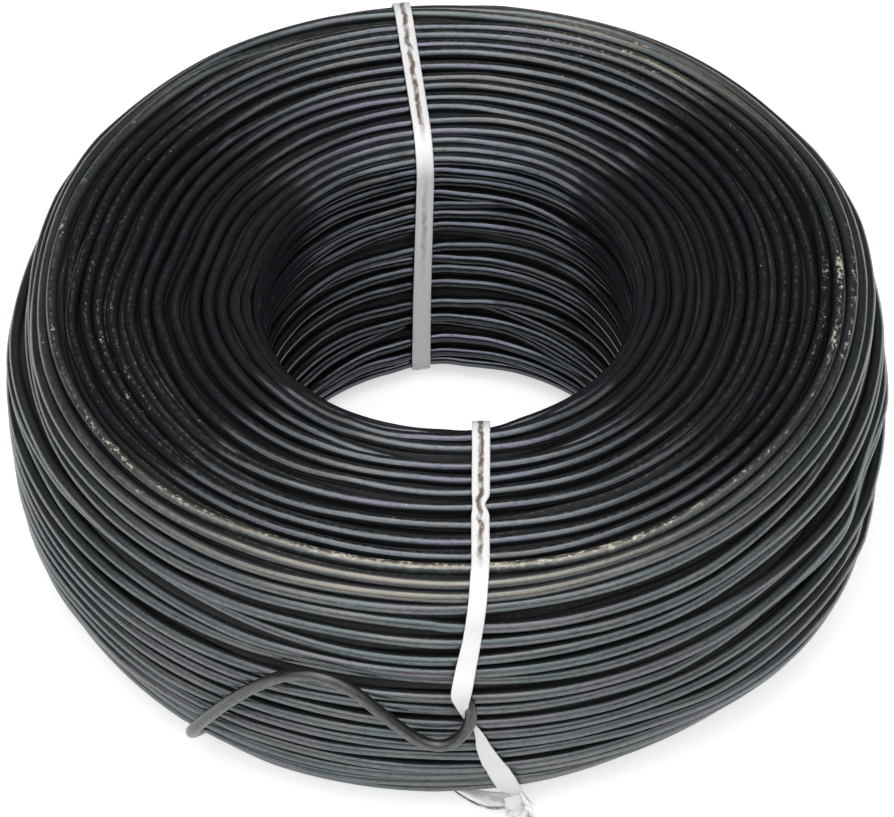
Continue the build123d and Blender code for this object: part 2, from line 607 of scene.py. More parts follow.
@dataclass(frozen=True)
class Pull:
    """How the ties draw the turns in, in the bore and underneath.

    The pull is full within a tie's width and eases off over the next few millimetres beside it. It ends at
    the top of the bore's wall and at the start of the underside.
    """

    width: float = 1.6
    ease: float = 4.0
    in_bore: float = 0.32
    under: float = 0.62
    bore_end: float = 43.0
    bore_ease: float = 7.0
    floor_start: float = 114.0
    floor_ease: float = 8.0

    def depth(self, azimuth: np.ndarray, place: np.ndarray) -> np.ndarray:
        """Work out how far the turns are drawn in.

        Args:
            azimuth: angles round the axis, in radians.
            place: places on the section.

        Returns:
            Millimetres inwards.
        """
        radius = SECTION.at(place, np.zeros_like(place))[0]
        pulled = np.zeros_like(place)
        for tie_azimuth, offset in ((FRONT_AZIMUTH, FRONT_OFFSET), (REAR_AZIMUTH, 0.0)):
            turned = azimuth - math.radians(tie_azimuth)
            aside = np.abs(radius * np.sin(turned) - offset)
            pulled += np.where(np.cos(turned) > 0, smooth(1 - (aside - self.width) / self.ease), 0.0)
        from_below = smooth((place + self.bore_ease) / self.bore_ease)
        in_bore = smooth((self.bore_end - place) / self.bore_ease) * from_below
        under = smooth((place - self.floor_start) / self.floor_ease) + smooth(-place / self.bore_ease)
        return pulled * (self.in_bore * in_bore + self.under * under)


def hollow(azimuth: np.ndarray, place: np.ndarray) -> np.ndarray:
    """Work out how much deeper the hidden layers lie where the turns over them part.

    Args:
        azimuth: angles round the axis, in radians.
        place: places on the section.

    Returns:
        Millimetres inwards.
    """
    heaps = (
        (-23.0, 26.0, 81.0, 5.0, 2.0),
        (-72.0, 24.0, 72.2, 2.6, 1.2),
        (-152.0, 24.0, 80.8, 3.4, 1.2),
        (-112.0, 22.0, 81.4, 2.4, 0.9),
    )
    return heaped(azimuth, place, heaps)


def swell(azimuth: np.ndarray, place: np.ndarray) -> np.ndarray:
    """Work out how far the coil swells out of its even outline, as it isn't wound quite round.

    Args:
        azimuth: angles round the axis, in radians.
        place: places on the section.

    Returns:
        Millimetres outwards.
    """
    heaps = (
        (-182.0, 32.0, 69.0, 10.0, -1.4),
        (-38.0, 34.0, 97.0, 11.0, 1.9),
        (-30.0, 15.0, 92.0, 10.0, 0.7),
        (-17.0, 13.0, 86.5, 5.0, -1.5),
        (-176.0, 18.0, 79.0, 7.0, 0.7),
        (-170.0, 26.0, 100.0, 11.0, 0.8),
        (122.0, 26.0, 67.0, 9.0, 0.35),
        (60.0, 26.0, 67.0, 9.0, 0.2),
        (16.0, 22.0, 68.0, 8.0, 0.5),
        (-108.0, 24.0, 108.0, 10.0, 0.3),
        (-58.0, 25.0, 110.0, 12.0, -0.8),
    )
    return heaped(azimuth, place, heaps)


def dirt(azimuth: np.ndarray, place: np.ndarray) -> Arrays:
    """Lay the dirt that spreads over several turns.

    Sand is on the back edge at the right, and a little at the bottom right. Dust is thin over the outer half
    of the top, and thicker in places along its edge.

    Args:
        azimuth: angles round the axis, in radians.
        place: places on the section.

    Returns:
        Dried sandy dirt and dust, 0 where there is none.
    """
    sand = heaped(azimuth, place, ((52.0, 42.0, 65.5, 7.0, 2.2), (-74.0, 18.0, 104.0, 7.0, 0.5)))
    heaps = (
        (-165.0, 45.0, 57.0, 9.0, 0.3),
        (64.0, 28.0, 64.0, 7.0, 0.35),
        (-5.0, 22.0, 64.5, 4.5, 0.75),
    )
    dust = 0.34 * near(place, 60.0, 16.0) + heaped(azimuth, place, heaps)
    return sand, dust


@dataclass
class Winding:
    """Neighbouring turns of the wire, laid as one strand over a stretch of the section.

    Each row of turns gives one turn's places at the stations' azimuths, and sunk how far it lies under its
    neighbours there. Sandy and dusty give the dirt that a turn has of its own, in the same way.
    """

    name: str
    stations: Row
    turns: list[Row]
    sunk: dict[int, Row]
    seed: int
    wander: float = 0.16
    segments: int = 288
    sides: int = 12
    crossover: float = 190.0
    crossover_share: float = 0.07
    blur: float = 9.0
    hidden: bool = False
    sandy: dict[int, Row] = field(default_factory=dict)
    dusty: dict[int, Row] = field(default_factory=dict)
    longest_wave: int = 2
    shortest_wave: int = 13
    wave_falloff: float = 0.7
    settling_rounds: int = 60
    settling_push: float = 0.25
    most_sand: float = 2.0

    def rounded(self, rows: np.ndarray, azimuth: np.ndarray) -> np.ndarray:
        """Carry station values round the coil: straight between stations, then blurred.

        The blur is a Gaussian of that many degrees: wave k is kept by exp(-(k blur)^2 / 2).

        Args:
            rows: one row of station values for each turn.
            azimuth: angles of one round's points, in radians.

        Returns:
            One row of values for each turn.
        """
        wrapped = np.radians(np.array(self.stations))
        laid = np.stack([np.interp(azimuth, wrapped, row, period=FULL_TURN) for row in rows])
        waves = np.arange(self.segments // 2 + 1)
        kept = np.exp(-((waves * math.radians(self.blur)) ** 2) / 2)
        return np.fft.irfft(np.fft.rfft(laid, axis=1) * kept, self.segments, axis=1)

    def wandering(self, count: int, azimuth: np.ndarray, size: float, seed: int) -> np.ndarray:
        """Draw a slow irregularity: a sum of waves of few periods a turn, smaller as they shorten.

        Args:
            count: how many turns.
            azimuth: angles of one round's points, in radians.
            size: how large it is, in millimetres.
            seed: where its random draws start.

        Returns:
            One row of millimetres for each turn.
        """
        rng = np.random.default_rng(seed)
        waves = np.arange(self.longest_wave, self.shortest_wave + 1)
        phase = rng.uniform(0, FULL_TURN, (count, waves.size, 1))
        height = rng.normal(size=(count, waves.size, 1)) / waves[None, :, None] ** self.wave_falloff
        return size * (height * np.cos(waves[None, :, None] * azimuth + phase)).sum(1)

    def settle(self, place: np.ndarray, sunk: np.ndarray) -> Arrays:
        """Push turns apart until none lies in another.

        Two turns closer than a wire's thickness are moved apart along the line between them, half each,
        round after round; a turn that is deeper sinks further. No turn rises out of the outline.

        Args:
            place: one row of places for each turn.
            sunk: their depths under the outline.

        Returns:
            The settled places and depths.
        """
        for _ in range(self.settling_rounds):
            for gap in (1, 2):
                beside = place[gap:] - place[:-gap]
                deeper = sunk[gap:] - sunk[:-gap]
                apart = np.maximum(np.hypot(beside, deeper), SECTION.closest)
                push = self.settling_push * np.maximum(WIRE_THICKNESS - apart, 0.0) / apart
                place[gap:] += push * beside
                place[:-gap] -= push * beside
                sunk[gap:] += push * deeper
                sunk[:-gap] -= push * deeper
            sunk = np.maximum(sunk, WIRE_RADIUS)
        return place, sunk

    def by_turn(self, rows: dict[int, Row], azimuth: np.ndarray) -> np.ndarray:
        """Carry the values of some of the turns round the coil.

        Args:
            rows: station values by the turn's number; the other turns have 0.
            azimuth: angles of one round's points, in radians.

        Returns:
            One row of values for each turn.
        """
        table = np.zeros((len(self.turns), len(self.stations)))
        for turn, values in rows.items():
            table[turn] = values
        return self.rounded(table, azimuth)

    def lay(self) -> Arrays:
        """Lay the strand, turn after turn.

        It starts at the crossover and steps to the next turn's place over the last share of each round. Its
        two ends dive under their neighbours.

        Returns:
            Azimuth, place and depth of every point of the strand.
        """
        azimuth = math.radians(self.crossover) + np.arange(self.segments) * FULL_TURN / self.segments
        count = len(self.turns)
        place = self.rounded(np.array(self.turns), azimuth)
        sunk = WIRE_RADIUS + self.by_turn(self.sunk, azimuth)
        place = place + self.wandering(count, azimuth, self.wander, self.seed)
        sunk = sunk + np.abs(self.wandering(count, azimuth, self.wander, self.seed + 1))
        place, sunk = self.settle(place, sunk)
        round_coil = np.broadcast_to(azimuth, place.shape)
        sunk = sunk + Pull().depth(round_coil, place) - swell(round_coil, place)
        if self.hidden:
            sunk = sunk + hollow(round_coil, place)
        reach = SECTION.at(place, sunk)[0] + WIRE_RADIUS
        sunk = sunk + np.maximum(reach - FULL_RADIUS, 0.0)
        share = np.arange(self.segments) / self.segments
        step = smooth((share - 1 + self.crossover_share) / self.crossover_share)
        following = np.concatenate([place[1:], place[-1:]])
        following_sunk = np.concatenate([sunk[1:], sunk[-1:] + WIRE_THICKNESS])
        place = place + (following - place) * step
        sunk = sunk + (following_sunk - sunk) * step
        sunk[0] += WIRE_THICKNESS * smooth(1 - share / self.crossover_share)
        return np.tile(azimuth, count), place.ravel(), sunk.ravel()

    def build(self, material: bpy.types.Material) -> bpy.types.Object:
        """Sweep the strand and dress it.

        Args:
            material: its finish.

        Returns:
            The new piece.
        """
        azimuth, place, sunk = self.lay()
        centres, outward = SECTION.turned(azimuth, place, sunk)
        points, faces, strand = tube(centres, outward, self.sides)
        sand, dust = dirt(azimuth, place)
        first_round = azimuth[: self.segments]
        sand = np.clip(sand + self.by_turn(self.sandy, first_round).ravel(), 0.0, self.most_sand)
        dust = np.clip(dust + self.by_turn(self.dusty, first_round).ravel(), 0.0, 1.0)
        values = {"strand": strand, "sand": np.repeat(sand, self.sides), "dust": np.repeat(dust, self.sides)}
        return new_piece(self.name, points, faces, material, values)


@dataclass
class WireCoil:
    """The wound body: turns over the bore, the top and the side, the layer under them, and the core."""

    pitch: float = 2.36
    under_depth: float = 1.2
    core_depth: float = 2.4
    core_ridge: float = 0.3
    core_segments: int = 96
    core_places: int = 180
    floor_start: float = 118.6
    floor_pitch: float = 2.5
    floor_turns: int = 8

    def windings(self) -> list[Winding]:
        """Set out the turns that show, row by row.

        The first stretch starts on the floor side, counted back from the start of the outline so that places
        keep rising into the bore.

        Returns:
            The turns in the bore, over the top and round the side.
        """
        bore_stations = (-90.0, 50.0, 92.0, 130.0)
        bore = [
            (-2.4, -2.2, -2.4, -2.5),
            (0.3, 0.3, 0.4, 0.2),
            (2.8, 2.5, 3.2, 2.0),
            (4.8, 4.5, 5.0, 4.9),
            (7.0, 6.3, 7.1, 7.6),
            (8.9, 8.1, 9.3, 9.6),
            (10.9, 11.6, 9.8, 10.6),
            (13.9, 14.6, 13.1, 14.5),
            (16.3, 17.0, 16.1, 16.9),
            (18.5, 18.9, 18.2, 18.5),
            (20.6, 22.2, 20.3, 20.1),
            (23.0, 24.4, 22.8, 22.4),
            (25.0, 25.9, 24.4, 24.3),
            (27.0, 28.8, 26.4, 26.2),
            (28.6, 28.8, 28.1, 28.0),
            (30.5, 30.1, 30.3, 31.2),
            (33.0, 33.7, 32.6, 33.1),
            (35.0, 35.3, 34.6, 35.1),
        ]
        bore_sunk = {
            3: (0.3, 0.0, 1.2, 0.0),
            5: (0.3, 0.0, 1.3, 1.4),
            9: (0.3, 0.0, 0.0, 1.2),
            11: (0.3, 0.4, 1.2, 1.3),
            14: (0.3, 1.5, 0.1, 0.0),
        }
        top_stations = (-180.0, -135.0, -100.0, -60.0, 0.0, 60.0, 92.0, 130.0)
        top = [
            (37.0, 37.0, 37.6, 38.0, 37.0, 37.2, 36.9, 37.1),
            (38.6, 38.6, 39.0, 39.8, 38.8, 38.5, 38.1, 38.2),
            (40.3, 40.2, 40.4, 41.4, 40.6, 40.0, 39.8, 39.7),
            (42.6, 42.2, 42.7, 43.8, 43.0, 42.4, 41.7, 41.8),
            (44.4, 43.9, 44.5, 45.7, 45.0, 44.2, 43.9, 43.9),
            (46.4, 46.3, 45.6, 47.5, 46.9, 46.1, 46.1, 46.1),
            (48.6, 48.5, 47.8, 49.6, 48.8, 48.3, 48.5, 48.8),
            (50.6, 51.2, 50.1, 52.2, 51.0, 50.5, 50.6, 50.8),
            (52.4, 52.8, 51.6, 53.6, 52.8, 52.5, 52.2, 52.6),
            (54.6, 54.4, 52.8, 54.9, 54.6, 54.6, 54.5, 55.0),
            (57.0, 57.4, 55.7, 58.3, 57.0, 57.4, 57.1, 57.3),
            (58.8, 58.6, 57.4, 57.0, 58.8, 59.4, 58.8, 59.2),
            (60.4, 59.6, 59.0, 60.4, 60.6, 61.0, 60.8, 61.0),
            (62.4, 61.9, 61.3, 62.6, 62.4, 63.0, 62.2, 62.4),
        ]
        top_sunk = {
            4: (0.0, 0.0, 1.3, 1.0, 0.0, 0.0, 0.0, 0.0),
            8: (0.0, 1.2, 1.5, 1.3, 0.3, 0.0, 0.0, 0.0),
            11: (0.0, 1.2, 1.4, 1.4, 0.5, 0.0, 0.6, 0.0),
        }
        side_stations = (-165.0, -135.0, -105.0, -90.0, -75.0, -60.0, -45.0, -15.0, 90.0)
        side = [
            (65.0, 64.8, 63.3, 63.8, 64.9, 65.1, 64.7, 64.5, 64.6),
            (67.1, 67.1, 66.3, 66.2, 66.8, 66.9, 66.5, 66.5, 66.8),
            (69.2, 69.3, 68.3, 68.1, 68.6, 68.7, 68.4, 68.3, 69.0),
            (71.0, 71.3, 70.3, 70.0, 70.3, 70.6, 70.2, 70.2, 71.2),
            (73.6, 73.2, 72.6, 72.9, 74.2, 74.4, 73.8, 72.0, 73.5),
            (76.2, 75.6, 75.0, 75.4, 76.4, 76.5, 76.3, 76.0, 75.8),
            (78.4, 76.9, 78.2, 78.4, 78.3, 78.4, 77.7, 77.4, 78.0),
            (80.6, 80.0, 80.3, 80.4, 80.8, 81.0, 81.6, 84.6, 80.2),
            (83.0, 82.2, 82.0, 82.4, 83.5, 83.5, 83.7, 85.6, 82.5),
            (85.6, 85.4, 84.7, 84.6, 86.0, 86.5, 85.8, 86.9, 84.8),
            (88.0, 87.8, 86.9, 86.8, 88.2, 88.9, 88.4, 89.0, 87.2),
            (90.4, 89.7, 89.4, 89.8, 91.0, 91.6, 90.6, 91.4, 89.6),
            (93.0, 92.6, 92.2, 92.4, 93.2, 94.0, 93.1, 93.8, 92.0),
            (95.6, 95.4, 95.0, 95.0, 95.6, 96.2, 96.7, 96.2, 94.5),
            (98.4, 98.4, 97.6, 97.4, 98.2, 98.6, 99.0, 99.0, 97.0),
            (100.8, 100.8, 100.0, 99.8, 100.4, 101.0, 101.2, 101.4, 99.6),
            (103.0, 103.0, 102.4, 102.2, 102.8, 103.2, 103.6, 103.6, 102.4),
            (105.6, 105.6, 105.0, 104.8, 105.2, 105.6, 106.0, 106.0, 105.0),
            (108.0, 108.0, 107.6, 107.4, 107.8, 108.0, 108.4, 108.4, 107.6),
            (110.6, 110.6, 110.2, 110.0, 110.4, 110.6, 111.0, 111.0, 110.2),
            (113.2, 113.2, 112.8, 112.6, 113.0, 113.2, 113.6, 113.6, 112.8),
            (115.8, 115.8, 115.4, 115.2, 115.6, 115.8, 116.2, 116.2, 115.4),
        ]
        side_sunk = {
            4: (0.9, 0.0, 0.0, 0.0, 0.0, 0.0, 0.0, 0.5, 0.0),
            6: (0.2, 1.4, 0.0, 0.0, 0.0, 0.0, 0.0, 0.0, 0.0),
            7: (0.9, 0.3, 0.0, 0.0, 0.0, 0.0, 0.0, 0.3, 0.0),
            8: (0.0, 0.0, 1.2, 1.3, 0.2, 0.2, 1.2, 1.0, 0.0),
            10: (0.0, 0.0, 0.0, 0.0, 0.0, 0.3, 1.2, 0.4, 0.0),
            12: (0.0, 0.0, 0.0, 0.0, 0.0, 0.0, 0.5, 1.1, 0.0),
        }
        side_sandy = {
            0: (0.4, 0.8, 1.4, 1.4, 1.2, 0.8, 0.4, 0.1, 0.0),
            1: (0.4, 0.9, 1.0, 1.0, 0.9, 0.6, 0.4, 0.1, 0.3),
            2: (0.4, 0.9, 1.0, 0.9, 0.6, 0.4, 0.3, 0.1, 0.2),
            4: (0.3, 0.2, 0.0, 0.0, 0.0, 0.0, 0.0, 0.0, 0.0),
        }
        side_dusty = {
            0: (0.45, 0.7, 0.9, 1.0, 1.0, 0.8, 0.4, 0.3, 0.1),
            1: (0.2, 0.3, 0.1, 0.1, 0.1, 0.2, 0.1, 0.2, 0.2),
        }
        below = [
            (self.floor_start + self.floor_pitch * turn - SECTION.length,) * len(bore_stations)
            for turn in range(self.floor_turns)
        ]
        bore_depths = {turn + self.floor_turns: depths for turn, depths in bore_sunk.items()}
        return [
            Winding("turns_in_the_bore", bore_stations, below + bore, bore_depths, 11, crossover=-78.0),
            Winding("turns_over_the_top", top_stations, top, top_sunk, 23),
            Winding(
                "turns_round_the_side",
                side_stations,
                side,
                side_sunk,
                37,
                segments=300,
                crossover=104.0,
                sandy=side_sandy,
                dusty=side_dusty,
            ),
        ]

    def under_layer(self, material: bpy.types.Material) -> bpy.types.Object:
        """Lay the layer that shows in the gaps: even turns under the others, as one strand.

        Args:
            material: its finish.

        Returns:
            The new piece.
        """
        count = int(SECTION.length // self.pitch)
        places = [((turn + 0.5) * self.pitch,) for turn in range(count)]
        depths = {turn: (self.under_depth,) for turn in range(count)}
        lower = Winding("under_turns", (0.0,), places, depths, 51, 0.2, 150, 8, hidden=True)
        return lower.build(material)

    def core(self, material: bpy.types.Material) -> bpy.types.Object:
        """Turn the closed body under the turns: the section, sunk by the core's depth and its ridges.

        Args:
            material: its finish.

        Returns:
            The new piece.
        """
        place = np.linspace(0.0, SECTION.length, self.core_places, endpoint=False)
        azimuth = np.linspace(0.0, FULL_TURN, self.core_segments, endpoint=False)
        round_coil, along = np.meshgrid(azimuth, place, indexing="ij")
        ridges = self.core_ridge * np.cos(FULL_TURN * along / self.pitch)
        points, _ = SECTION.turned(round_coil, along, self.core_depth + ridges + hollow(round_coil, along))
        flat = points.reshape(-1, 3)
        faces = grid_faces(self.core_segments, self.core_places, True, True)
        values = {"strand": flat, "sand": np.zeros(len(flat)), "dust": np.zeros(len(flat))}
        return new_piece("coil_core", points, [faces], material, values)

    def build(self) -> list[bpy.types.Object]:
        """Build every layer of the coil and let it stand for the CAD body.

        Returns:
            The pieces, the turns in the bore first.
        """
        bluish = BlackWireFinish("black_wire_finish").material()
        # Painted shade: the bore's copy of the wire finish is darker than the top's, and the flank of each
        # turn that looks down goes towards black.
        bore = BlackWireFinish(
            "shaded_bore_wire_finish",
            oxide=(0.060, 0.074, 0.090, 1.0),
            worn=(0.108, 0.118, 0.132, 1.0),
            violet=(0.094, 0.095, 0.122, 1.0),
            brown=(0.100, 0.090, 0.082, 1.0),
            painted_flank_shade=0.85,
        ).material()
        # The side's copy is teal and lighter than the top's: partly its own tone, partly painted light on
        # the side that faces the lamps.
        teal = BlackWireFinish(
            "teal_wire_finish",
            oxide=(0.066, 0.089, 0.098, 1.0),
            worn=(0.164, 0.178, 0.182, 1.0),
            violet=(0.146, 0.134, 0.150, 1.0),
            brown=(0.150, 0.141, 0.129, 1.0),
            metal=0.85,
            roughness=0.28,
        ).material()
        # Painted shade: a dark matte copy of the wire finish for the under layer and the core, so the gaps
        # between turns stay dark.
        hidden = BlackWireFinish(
            "shaded_wire_finish",
            oxide=(0.024, 0.0245, 0.026, 1.0),
            worn=(0.032, 0.0325, 0.034, 1.0),
            violet=(0.027, 0.027, 0.030, 1.0),
            brown=(0.029, 0.026, 0.023, 1.0),
            metal=0.0,
            roughness=0.7,
            specular=0.12,
        ).material()
        pieces = [
            winding.build(finish) for winding, finish in zip(self.windings(), (bore, bluish, teal))
        ]
        pieces += [self.under_layer(hidden), self.core(hidden)]
        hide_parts("wire_coil")
        return pieces


# ---- the loose end


@dataclass
class LooseEnd:
    """The wire's loose outer end, on the CAD source's route, set closer to the photograph's line.

    Each row of the route gives an azimuth in degrees, millimetres out from the side, and the share of the
    coil's height.
    """

    name: str = "loose_end"
    route: tuple[Row, ...] = (
        (-129.4, -6.0, 0.035),
        (-127.6, 1.4, 0.150),
        (-121.0, 3.1, 0.400),
        (-115.4, 3.2, 0.575),
        (-109.4, 3.2, 0.700),
        (-103.2, 3.2, 0.688),
        (-98.0, 3.4, 0.560),
        (-93.6, 3.6, 0.462),
        (-90.1, 3.9, 0.470),
        (-87.2, 3.3, 0.578),
        (-88.7, 2.0, 0.634),
    )
    sides: int = 14

    def line(self) -> np.ndarray:
        """Run a NURBS spline along the route.

        Returns:
            Its points, in millimetres above the floor.
        """
        curve = bpy.data.curves.new(self.name + "_route", "CURVE")
        curve.dimensions = "3D"
        curve.resolution_u = 24
        spline = curve.splines.new("NURBS")
        spline.points.add(len(self.route) - 1)
        for point, (azimuth, outwards, share) in zip(spline.points, self.route):
            angle, reach = math.radians(azimuth), SECTION.side_radius + outwards
            x, y, z = reach * math.cos(angle), reach * math.sin(angle), share * COIL_HEIGHT
            point.co = (x * MM, y * MM, (z - COIL_HEIGHT / 2) * MM, 1.0)
        spline.order_u = 3
        spline.use_endpoint_u = True
        carrier = placed(self.name + "_route", curve)
        sampled = bpy.data.meshes.new_from_object(carrier)
        flat = np.zeros(len(sampled.vertices) * 3)
        sampled.vertices.foreach_get("co", flat)
        bpy.data.objects.remove(carrier)
        bpy.data.curves.remove(curve)
        bpy.data.meshes.remove(sampled)
        return flat.reshape(-1, 3) / MM + np.array([0.0, 0.0, COIL_HEIGHT / 2])

    def build(self) -> bpy.types.Object:
        """Returns:
            The new piece.
        """
        centres = self.line()
        outward = np.stack([centres[:, 0], centres[:, 1], 0 * centres[:, 0]], -1)
        points, faces, strand = tube(centres, outward, self.sides)
        # Painted shade: a little of the flank that looks down is darkened.
        material = BlackWireFinish(
            "loose_end_finish",
            oxide=(0.078, 0.081, 0.082, 1.0),
            worn=(0.138, 0.139, 0.136, 1.0),
            violet=(0.108, 0.106, 0.114, 1.0),
            brown=(0.106, 0.100, 0.092, 1.0),
            roughness=0.33,
            painted_flank_shade=0.1,
        ).material()
        clean = np.zeros(len(points))
        values = {"strand": strand, "sand": clean, "dust": clean}
        made = new_piece(self.name, points, faces, material, values)
        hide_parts("wire_tail")
        path = in_frame(centres)
        length = float(np.linalg.norm(np.diff(path, axis=0), axis=1).sum())
        log.info("%s: %.1f mm long", self.name, length / MM)
        return made


# ---- the ties


def ribbon(
    centres: np.ndarray,
    outward: np.ndarray,
    width: np.ndarray,
    thickness: float,
    profile: int,
    closed: bool,
) -> tuple[np.ndarray, list, np.ndarray]:
    """Carry a thin strip along a path.

    The strip's profile is the flattened superellipse w/2 sgn(cos a) |cos a|^0.5 across and
    t/2 sgn(sin a) |sin a|^0.6 outwards.

    Args:
        centres: points of the path, (n, 3).
        outward: the way the strip's face looks at each point.
        width: full width at each point.
        thickness: full thickness.
        profile: points round the profile.
        closed: whether the path's end joins its start.

    Returns:
        Vertices (n * profile, 3), faces, and the tape vector at each vertex: millimetres across, 0 and
        millimetres along.
    """
    if closed:
        along = unit(np.roll(centres, -1, axis=0) - np.roll(centres, 1, axis=0))
    else:
        along = unit(np.gradient(centres, axis=0))
    aside = unit(np.cross(along, outward))
    raised = np.cross(aside, along)
    angle = np.linspace(0.0, FULL_TURN, profile, endpoint=False) + math.pi / profile
    cosine, sine = np.cos(angle), np.sin(angle)
    across = width[:, None] / 2 * (np.sign(cosine) * np.abs(cosine) ** 0.5)
    out = thickness / 2 * (np.sign(sine) * np.abs(sine) ** 0.6)
    points = centres[:, None, :] + across[..., None] * aside[:, None, :] + out[:, None] * raised[:, None, :]
    tape = np.stack(np.broadcast_arrays(across, 0 * across, run_lengths(centres)[:, None]), -1)
    faces = [grid_faces(len(centres), profile, closed, True)[:, ::-1]]
    if not closed:
        faces += end_caps(len(centres), profile)
    return points.reshape(-1, 3), faces, tape.reshape(-1, 3)


def eased_path(points: tuple, steps: int) -> np.ndarray:
    """Lay a Catmull-Rom spline.

    From p1 to p2 it is half of 2 p1 + (p2 - p0) s + (2 p0 - 5 p1 + 4 p2 - p3) s^2
    + (3 p1 - p0 - 3 p2 + p3) s^3, with s from 0 to 1.

    Args:
        points: the points that it runs through.
        steps: how many points to lay on it.

    Returns:
        The laid points, (steps, 3).
    """
    held = np.array(points, dtype=float)
    held = np.concatenate([2 * held[:1] - held[1:2], held, 2 * held[-1:] - held[-2:-1]])
    place = np.linspace(0.0, len(points) - 1 - 1e-6, steps)
    first = place.astype(int)
    share = (place - first)[:, None]
    before, start, end, after = (held[first + k] for k in range(4))
    return 0.5 * (
        2 * start
        + (end - before) * share
        + (2 * before - 5 * start + 4 * end - after) * share**2
        + (3 * start - before - 3 * end + after) * share**3
    )


@dataclass
class Tie:
    """A flat tape drawn round the coil's section.

    Rows of ways give, at each place on the section, the sideways shift, the height over the outline and the
    width. The stain lies between two places, and the bore's is a centre, a reach and a share.
    """

    name: str
    azimuth: float
    offset: float
    ways: tuple[Row, ...]
    stain: Row = (33.0, 66.0)
    thickness: float = 0.34
    steps: int = 460
    profile: int = 12
    ease: float = 0.38
    stain_ease: float = 6.0
    bore_stain: Row = (26.0, 13.0, 0.45)

    def shaped(self, place: np.ndarray) -> list[np.ndarray]:
        """Even out the rows: straight between them, then blurred by the ease, in millimetres.

        Args:
            place: places on the section.

        Returns:
            Shift, height and width at those places.
        """
        table = np.array(self.ways)
        waves = np.arange(self.steps // 2 + 1)
        kept = np.exp(-((waves * FULL_TURN * self.ease / SECTION.length) ** 2) / 2)
        laid = [np.interp(place, table[:, 0], column, period=SECTION.length) for column in table.T[1:]]
        return [np.fft.irfft(np.fft.rfft(values) * kept, self.steps) for values in laid]

    def lay(self) -> tuple:
        """Lay the tape round the section at its azimuth.

        Returns:
            Its vertices, faces, tape vectors and grime.
        """
        place = np.linspace(0.0, SECTION.length, self.steps, endpoint=False)
        shift, height, width = self.shaped(place)
        radius, level, out_radius, out_level = SECTION.at(place, -height)
        turn = math.radians(self.azimuth)
        ahead = np.array([math.cos(turn), math.sin(turn), 0.0])
        left = np.array([-math.sin(turn), math.cos(turn), 0.0])
        up = np.array([0.0, 0.0, 1.0])
        centres = radius[:, None] * ahead + (self.offset + shift)[:, None] * left + level[:, None] * up
        outward = out_radius[:, None] * ahead + out_level[:, None] * up
        points, faces, tape = ribbon(centres, outward, width, self.thickness, self.profile, True)
        return points, faces, tape, np.repeat(self.stained(place), self.profile)

    def stained(self, place: np.ndarray) -> np.ndarray:
        """Work out how grimy the tie is: most over the top, less in the bore, clean down the side.

        Args:
            place: places on the section.

        Returns:
            Grime, 0 where the tie is clean.
        """
        first, last = self.stain
        centre, reach, share = self.bore_stain
        over_top = smooth((last - place) / self.stain_ease) * smooth((place - first) / self.stain_ease)
        return over_top + share * near(place, centre, reach)


